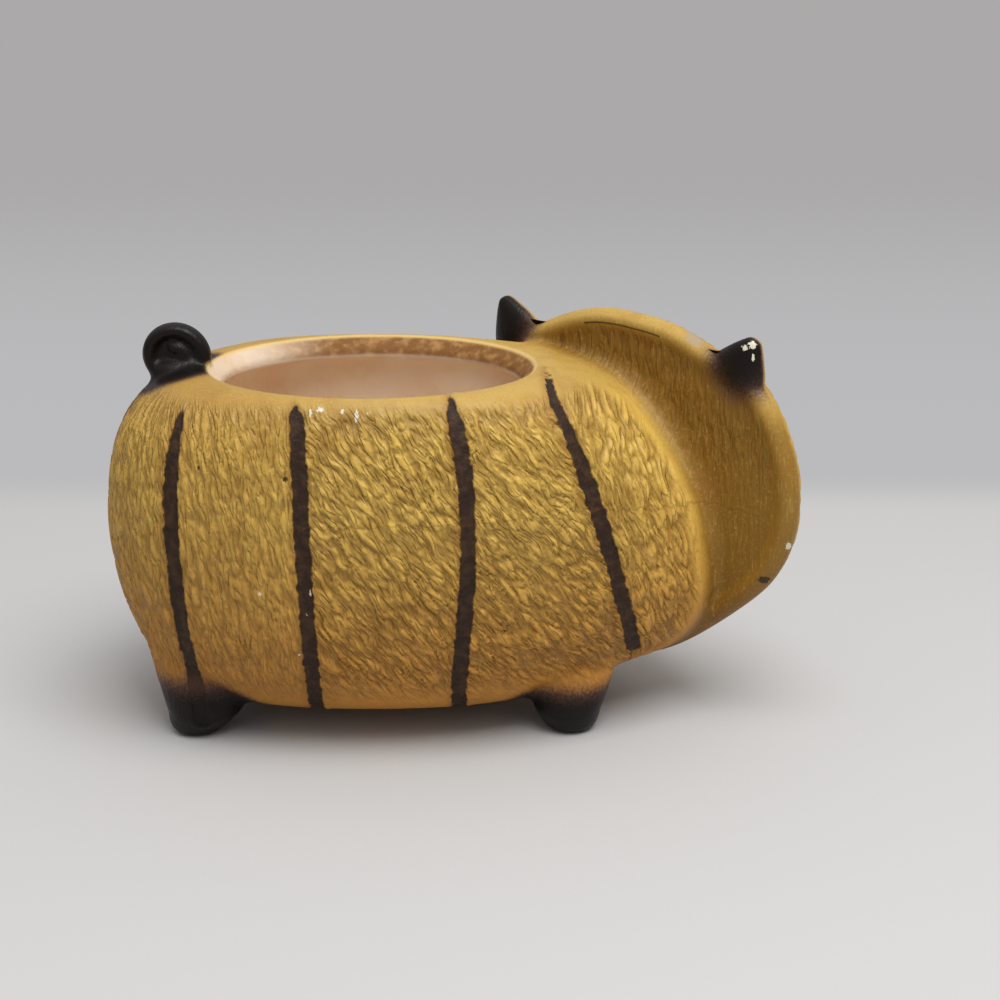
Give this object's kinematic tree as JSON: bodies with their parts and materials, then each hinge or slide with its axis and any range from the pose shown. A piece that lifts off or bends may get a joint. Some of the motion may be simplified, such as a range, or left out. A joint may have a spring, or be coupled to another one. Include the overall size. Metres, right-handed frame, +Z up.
{
  "type": "animal shaped planter",
  "caption": "Ceramic planter shaped as a standing striped animal with its head turned aside, a coiled tail, stub feet and an oval planting mouth in its back.",
  "frame": {"origin": "on the floor plane, under the middle of the whole planter's bounding box", "axes": "+X from the tail to the head, along the body, +Y to the animal's left, +Z up"},
  "size_m": [0.233, 0.1264, 0.1363],
  "materials": {
    "ochre_glaze": "satin",
    "dark_wash": "satin",
    "dark_slip": "matte",
    "dark_gloss": "gloss"
  },
  "bodies": {
    "root": {"body_shell": "ochre_glaze", "head_back": "ochre_glaze", "face_mask": "ochre_glaze", "muzzle": "ochre_glaze", "ear_left": "dark_wash", "ear_right": "dark_wash", "tail_curl": "dark_wash", "foot_rear_right": "dark_wash", "foot_rear_left": "dark_wash", "foot_front_right": "dark_wash", "foot_front_left": "dark_wash", "stripe_right_1": "dark_slip", "stripe_right_2": "dark_slip", "stripe_right_3": "dark_slip", "stripe_right_4": "dark_slip", "stripe_left_1": "dark_slip", "stripe_left_2": "dark_slip", "stripe_left_3": "dark_slip", "nose": "dark_gloss", "eye_left": "dark_gloss", "eye_right": "dark_gloss"}
  },
  "joints": []
}
